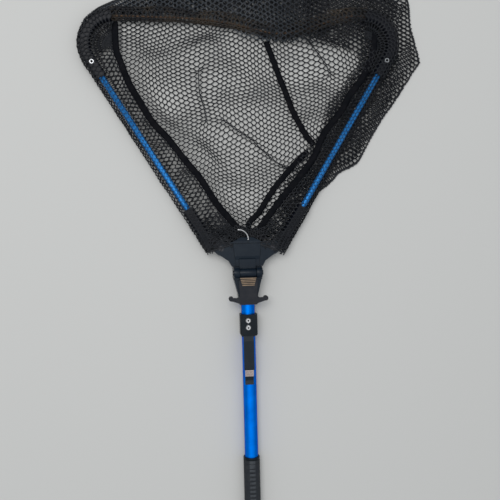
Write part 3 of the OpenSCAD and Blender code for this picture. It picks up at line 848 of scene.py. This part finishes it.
def sleeve(side):
    """The net sleeve of one arm: a flat loop of netting from the hub to the elbow's tip."""
    arm = ARMS[side]
    threads = net_threads(0, SLEEVE_COLUMNS * CELL_ACROSS, 0, arm.length - 0.001)
    place = sleeve_place(side, SLEEVE_COLUMNS, SLEEVE_SHAKE, 11 + side)
    threads = clip(threads, clear_of_rivet(side, place))
    piece = net_piece(f"sleeve_net_{arm.name}", threads, place, NET,
                      stretched_over_tube(side, place))
    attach(piece, arm.body)
    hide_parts(f"hem_{arm.name}")
    around = np.linspace(0, SLEEVE_COLUMNS * CELL_ACROSS, 160)
    line = place(np.column_stack([around, np.full(len(around), 0.0006)]))
    end = add_mesh(f"sleeve_end_{arm.name}", *sweep(line, circle_section(SLEEVE_END_R, 8)), NET)
    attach(end, arm.body)


# Netting gathered inside each sleeve's lower end: (distance along the arm, columns of mesh)
GATHERS = {-1: [(0.030, 26), (0.052, 20)], 1: [(0.034, 22)]}


def sleeve_gathers(side):
    """The loops of slack netting inside one sleeve's lower end."""
    arm = ARMS[side]
    for index, (stop, columns) in enumerate(GATHERS[side]):
        threads = net_threads(0, columns * CELL_ACROSS, 0.006, stop)
        place = sleeve_place(side, columns, GATHER_SHAKE, 111 + 10 * index + side)
        piece = net_piece(f"gather_{index + 1}_{arm.name}", threads, place, NET)
        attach(piece, arm.body)


# The mouth cord's route: the CAD's, with each end 4 mm shorter
CORD_ROUTE = [
    (-0.207, 0.4132, 0.0135), (-0.180, 0.4132, 0.0135), (-0.140, 0.412, 0.013),
    (-0.100, 0.411, 0.012), (-0.060, 0.408, 0.011), (-0.020, 0.403, 0.010),
    (0.020, 0.394, 0.009), (0.060, 0.387, 0.009), (0.100, 0.392, 0.010), (0.140, 0.404, 0.012),
    (0.180, 0.4132, 0.0135), (0.207, 0.4132, 0.0135)]
CORD_LINE = np.array(CORD_ROUTE)[:, :2]
CORD_STRANDS = 3
STRAND_R = 0.0008
# How far a strand's middle lies from the cord's, and how far along the cord it takes to go round
STRAND_OUT = 0.0007
STRAND_PITCH = 0.012


def with_squash(piece):
    """Attaches a piece of the bag to the head, with a mesh of its own."""
    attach(piece, "head")
    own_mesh(piece)


def mouth_cord():
    """A three-strand cord between the elbows' tips."""
    step = 0.002
    line = curve_through(CORD_ROUTE, step)
    turn = np.arange(len(line)) * step / STRAND_PITCH * 2 * math.pi
    vertices, faces, count = [], [], 0
    for strand in range(CORD_STRANDS):
        angle = turn + strand * 2 * math.pi / CORD_STRANDS
        offset = STRAND_OUT * np.stack([0 * angle, np.cos(angle), np.sin(angle)], 1)
        spots, quads = sweep(line + offset, circle_section(STRAND_R, 8))
        vertices.append(spots)
        faces.append(quads + count)
        count += len(spots)
    piece = add_mesh("mouth_rope", np.vstack(vertices), np.vstack(faces), CORD)
    with_squash(piece)
    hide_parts("mouth_cord")


LEFT_EDGE = inner_edge(-1, -0.004, 0.372)

# Lines along which the slack netting is folded: plan points, pull towards the line, lift, reach
FLOOR_CREASES = [
    ([(-0.066, 0.325), (-0.064, 0.287), (-0.062, 0.248)], 0.0042, 0.0030, 0.015),
    ([(-0.034, 0.243), (0.011, 0.219), (0.047, 0.191), (0.068, 0.174)], 0.0040, 0.0028, 0.015),
    ([(0.106, 0.386), (0.119, 0.365), (0.140, 0.326)], 0.0040, 0.0028, 0.015),
    ([(-0.188, 0.337), (-0.123, 0.359), (-0.055, 0.386)], 0.0040, 0.0006, 0.048),
    ([(-0.112, 0.242), (-0.077, 0.214), (-0.044, 0.189)], 0.0040, 0.0006, 0.048)]
WALL_CREASES = [
    ([(0.205, 0.446), (0.238, 0.427), (0.262, 0.419), (0.280, 0.438)], 0.0050, 0.0040, 0.015),
    ([(0.261, 0.400), (0.254, 0.350), (0.260, 0.312), (0.250, 0.272)], 0.0046, 0.0036, 0.015),
    ([(0.200, 0.330), (0.214, 0.270), (0.176, 0.205)], 0.0036, 0.0030, 0.015),
    ([(-0.150, 0.452), (-0.020, 0.440), (0.110, 0.448)], 0.0036, 0.0026, 0.015)]


def creased(p, creases):
    """Netting drawn in towards each crease, and how much it is lifted there."""
    shift, lift = np.zeros_like(p), np.zeros(len(p))
    for points, pull, rise, reach in creases:
        line = np.array(points)
        gap = distance_to(p, line) + 1e-6
        away = np.stack([distance_to(p + np.array(d) * 1e-4, line) - gap for d in ((1, 0), (0, 1))], -1)
        away /= np.maximum(np.linalg.norm(away, axis=1, keepdims=True), 1e-9)
        hold = pull * np.exp(-(gap / reach) ** 2) * np.tanh(gap / (0.27 * reach))
        shift -= away * hold[:, None]
        lift += rise * np.exp(-(gap / (0.4 * reach)) ** 2)
    return shift, lift


def slack_share(p):
    """0 at the bag's folded outline, where its two walls meet, and 1 well inside it."""
    gap = distance_to(p, BAG, True)
    return smoothstep(0, 0.020, gap), smoothstep(0.006, 0.045, gap)


def bag_floor():
    """The bag's lower wall: one layer on the floor, seen through the mouth."""
    around = BAG[(BAG[:, 0] > 0.05) | (BAG[:, 1] > 0.425)]
    around = around[np.argsort(np.arctan2(*(around - BAG_MIDDLE).T[::-1]))]
    hub_end = [[-0.020, 0.054], [0.020, 0.053], [0.052, 0.056]]
    region = np.vstack([LEFT_EDGE[::-1], hub_end, around])

    def place(p):
        fade, drift = slack_share(p)
        shift = sway(p, (0.17, 0.15), 1) * 0.0075
        shift += sway(p, (0.06, 0.05), 3) * 0.0012
        crease_shift, lift = creased(p, FLOOR_CREASES)
        sewn = smoothstep(0, 0.035, distance_to(p, LEFT_EDGE))
        plan = p + (shift + crease_shift) * (drift * sewn)[:, None]
        edge_lift = 0.0080 * np.exp(-(distance_to(p, LEFT_EDGE) / 0.016) ** 2)
        z = 0.0018 + (0.0010 * (waves(p, 0.09, 5) + 1) + lift) * fade + edge_lift
        return np.column_stack([plan, z])

    threads = clip(net_threads(-0.27, 0.31, 0.050, 0.49), lambda p: inside(p, region))
    middle_x = 0.03
    for name, side in (("bag_net_left", -1), ("bag_net_right", 1)):
        chosen = side * (threads[0][:, 0] - middle_x) > 0
        piece = net_piece(name, (threads[0][chosen], threads[1][chosen]), place, NET)
        with_squash(piece)
        if side < 0:
            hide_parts("net_bag")


# Lower edge of the slack band behind the mouth cord, as plan points
BAND_EDGE = np.array([(-0.230, 0.402), (-0.126, 0.411), (-0.057, 0.413), (-0.017, 0.407),
                      (-0.001, 0.384), (0.038, 0.375), (0.110, 0.373), (0.148, 0.367),
                      (0.185, 0.360), (0.200, 0.326)])
# Beyond this line the slack netting right of the arm is only two layers thick
THICK_EDGE = np.array([(0.262, 0.445), (0.256, 0.400), (0.254, 0.350), (0.260, 0.312),
                       (0.240, 0.262), (0.196, 0.196), (0.150, 0.150), (0.100, 0.110)])


def beside_arm(p, beyond):
    """Whether plan points lie more than beyond outside the right arm's line; below 0 is inside."""
    right = ARMS[1]
    return (-((p - right.foot) @ right.inward) > beyond) & (p[:, 0] > 0.06)


def behind_cord(p, further=0.0):
    """Whether plan points lie behind the slack band's lower edge, by more than further."""
    edge = np.interp(p[:, 0], BAND_EDGE[:, 0], BAND_EDGE[:, 1]) + further
    return (p[:, 1] > edge) & (p[:, 1] > 0.32)


def within_thick_edge(p):
    """Whether plan points lie where the slack netting is more than two layers thick."""
    return p[:, 0] < np.interp(-p[:, 1], -THICK_EDGE[:, 1], THICK_EDGE[:, 0])


def under_arm(p):
    """How high the slack netting may lie, so that it passes under the right arm."""
    beyond = np.abs((p - ARMS[1].foot) @ ARMS[1].inward)
    return 0.0048 + 0.014 * smoothstep(0.011, 0.030, beyond)


def over_cord(p):
    """How far the slack wall is lifted where it lies over the right half of the mouth cord."""
    gap = distance_to(p, CORD_LINE)
    return 0.0065 * np.exp(-(gap / 0.012) ** 2) * smoothstep(0.050, 0.075, p[:, 0])


SLACK_LOWEST = 0.0014
# The wall and the band are one layer in two looks, the band's threads with a painted highlight, so they share
# their numbers and their seed
SLACK_LAYERS = [
    # name, height, rise of its waves, their reach in plan, seed, material, region
    ("wall", 0.0085, 0.0030, 0.0050, 41, NET,
     lambda p: (beside_arm(p, -0.014) | behind_cord(p)) & (p[:, 0] >= BAND_END)),
    ("band", 0.0085, 0.0030, 0.0050, 41, NET_PAINTED_LIT,
     lambda p: behind_cord(p) & (p[:, 0] < BAND_END)),
    ("fold", 0.0045, 0.0020, 0.0090, 51, NET,
     lambda p: ((beside_arm(p, -0.041) & (p[:, 1] < 0.40)) | behind_cord(p, 0.004))
     & within_thick_edge(p)),
    ("under", 0.0024, 0.0010, 0.0120, 61, NET,
     lambda p: ((beside_arm(p, -0.036) & ~beside_arm(p, 0.006) & (p[:, 1] < 0.34))
                | (behind_cord(p, 0.010) & (p[:, 0] > -0.185) & (p[:, 0] < 0.150)))),
]


def bag_layers():
    """The bag's upper wall, and the folds under it where the netting is slack."""
    for index, (name, height, rise, reach, seed, material, region) in enumerate(SLACK_LAYERS):
        def place(p, index=index, height=height, rise=rise, seed=seed, reach=reach):
            fade, drift = slack_share(p)
            shift = sway(p, (0.15, 0.13), seed) * reach
            shift += sway(p, (0.05, 0.05), seed + 2) * reach / 5
            crease_shift, lift = creased(p, WALL_CREASES)
            z = 0.0022 + (height + rise * waves(p, 0.09, seed + 4) + lift) * fade
            plan = p + (shift + crease_shift) * drift[:, None]
            # only the top layer lies over the cord
            z = np.minimum(z, under_arm(plan)) + over_cord(plan) * (index < 2)
            return np.column_stack([plan, np.maximum(z, SLACK_LOWEST)])

        # each layer's mesh starts a little further on, so that holes don't line up
        step = max(index - 1, 0)
        threads = net_threads(-0.27 + 0.0035 * step, 0.31, 0.05 + 0.0022 * step, 0.49)
        kept = clip(threads, lambda p: region(p) & inside(p, BAG))
        piece = net_piece(f"slack_{name}", kept, place, material)
        with_squash(piece)


def bag_fold():
    """The folded edge that closes the bag's two walls along its outline."""
    edge = curve_through(np.vstack([BAG, BAG[:1]]))
    outside = edge[:, 0] * 0.8 + edge[:, 1] > 0.14
    start = np.argmax(outside & ~np.roll(outside, 1))
    edge, outside = np.roll(edge, -start, axis=0), np.roll(outside, -start)
    edge = edge[outside]
    inward = BAG_MIDDLE - edge
    inward /= np.linalg.norm(inward, axis=1, keepdims=True)
    for index, seed in enumerate((201, 211)):
        wander = 0.0012 + 0.0014 * waves(edge, 0.03, seed) + 0.0010 * index
        plan = edge + inward * wander[:, None]
        line = np.column_stack([plan, 0.0024 + 0.0006 * waves(edge, 0.02, seed + 1)])
        vertices, faces = sweep(line, circle_section(THREAD_R, 6))
        piece = add_mesh(f"bag_fold_{index + 1}", vertices, faces, NET)
        with_squash(piece)


def hub_bunch():
    """Netting bunched behind the hub's cover, on both sides of the ring."""
    low, high = box("hub_cover")
    back = high[1]
    region = np.array([(-0.027, back - 0.003), (-0.034, back + 0.010), (-0.014, back + 0.020),
                       (0.006, back + 0.013), (0.030, back + 0.016), (0.036, back + 0.006),
                       (0.028, back - 0.004)])
    region[:, 0] += (low[0] + high[0]) / 2
    centre = region.mean(0)
    # the share of its width and length that the bunched netting keeps
    drawn_in = np.array([0.55, 0.45])
    wide = centre + (region - centre) / drawn_in
    for index in range(3):
        def place(p, index=index):
            seed = 301 + 10 * index
            shift = sway(p, (0.02, 0.02), seed) * 0.0016
            plan = centre + (p - centre) * drawn_in + shift
            return np.column_stack([plan, 0.0085 + 0.0035 * index + 0.0014 * waves(p, 0.02, seed)])

        threads = net_threads(-0.08, 0.08, back - 0.05, back + 0.08)
        threads = clip(threads, lambda p: inside(p, wide))
        piece = net_piece(f"hub_bunch_{index + 1}", threads, place, NET)
        with_squash(piece)


def top_hem():
    """The net sleeve along the mouth cord."""
    line = curve_through(CORD_ROUTE)
    reached = travelled(line)
    outward = np.cross(UP, headings(line))
    columns = 10
    wide = columns * CELL_ACROSS
    lowest = 0.0016

    def place(p):
        s = np.clip(p[:, 1] + 0.002 * waves(p, 0.05, 71), 0, reached[-1])
        spot = np.stack([np.interp(s, reached, line[:, k]) for k in range(3)], 1)
        out = np.stack([np.interp(s, reached, outward[:, k]) for k in range(3)], 1)
        turn = 2 * math.pi * p[:, 0] / wide
        hang = 0.007 + 0.001 * waves(p, 0.06, 74)
        reach_out = 0.014 + 0.003 * waves(p, 0.08, 72)
        offset = np.where(np.cos(turn) > 0, reach_out, hang) * np.cos(turn)
        height = 0.0042 * np.sin(turn) + 0.0006 * waves(p, 0.04, 73)
        placed = spot + out * offset[:, None]
        placed[:, 2] = np.maximum(spot[:, 2] + height, lowest)
        return placed

    # the hem's bronze patches are a painted glint
    piece = net_piece("top_hem_net", net_threads(0, wide, 0.002, reached[-1]), place, NET_PAINTED_GLINT)
    with_squash(piece)


TAPE_THICK = 0.0012
SLEEVE_TAPE_W = 0.0105
SLEEVE_TAPE_Z = 0.0112
BAG_TAPE_W = 0.00945
BAG_TAPE_Z = 0.0042


def ribbon(name, line, width):
    """A flat tape along a line, with a slightly crowned top."""
    half = width / 2
    edge, crown = TAPE_THICK * 0.6, TAPE_THICK * 0.95
    section = np.array([(-half, 0), (-half, edge), (-half * 0.5, crown), (0, TAPE_THICK),
                        (half * 0.5, crown), (half, edge), (half, 0), (0, 0)])
    piece = add_mesh(name, *sweep(line, section), TAPE)
    return piece


# Both arms' tapes, as plan points from the elbow down to the hub
SLEEVE_TAPES = {
    -1: [(-0.201, 0.404), (-0.200, 0.362), (-0.194, 0.342), (-0.182, 0.309), (-0.165, 0.278),
         (-0.147, 0.247), (-0.123, 0.220), (-0.096, 0.184), (-0.072, 0.154), (-0.049, 0.116),
         (-0.030, 0.092), (-0.010, 0.069)],
    1: [(0.222, 0.397), (0.217, 0.353), (0.200, 0.316), (0.177, 0.286), (0.161, 0.259),
        (0.133, 0.224), (0.114, 0.184), (0.089, 0.152), (0.062, 0.121), (0.037, 0.090),
        (0.017, 0.063)],
}


def sleeve_tape(side):
    """The binding tape along the sewn edge of one arm's sleeve."""
    plan = curve_through(SLEEVE_TAPES[side])
    height = SLEEVE_TAPE_Z + 0.0005 * waves(plan, 0.12, 81 + side)
    line = np.column_stack([plan, height])
    piece = ribbon(f"sleeve_tape_{ARMS[side].name}", line, SLEEVE_TAPE_W)
    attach(piece, ARMS[side].body)
    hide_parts(f"tape_{ARMS[side].name}")


BAG_TAPES = {
    "bag_tape_long": [(0.041, 0.374), (0.051, 0.348), (0.061, 0.319), (0.072, 0.291),
                      (0.082, 0.264), (0.091, 0.246), (0.103, 0.224), (0.117, 0.206)],
    "bag_tape_short": [(0.107, 0.196), (0.096, 0.186), (0.080, 0.171), (0.055, 0.143),
                       (0.038, 0.120), (0.022, 0.096), (0.007, 0.081), (0.004, 0.064)],
}


def bag_tapes():
    """The two tapes sewn across the bag's lower wall."""
    for name, points in BAG_TAPES.items():
        plan = curve_through(points)
        height = BAG_TAPE_Z + 0.0006 * waves(plan, 0.06, 91)
        piece = ribbon(name, np.column_stack([plan, height]), BAG_TAPE_W)
        with_squash(piece)
        if name == "bag_tape_long":
            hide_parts("bag_tapes")


make_light()
make_floor()
dress_cad_nodes()
for arm_side in ARMS:
    sleeve(arm_side)
    sleeve_gathers(arm_side)
    sleeve_tape(arm_side)
mouth_cord()
top_hem()
bag_floor()
bag_layers()
bag_fold()
hub_bunch()
bag_tapes()
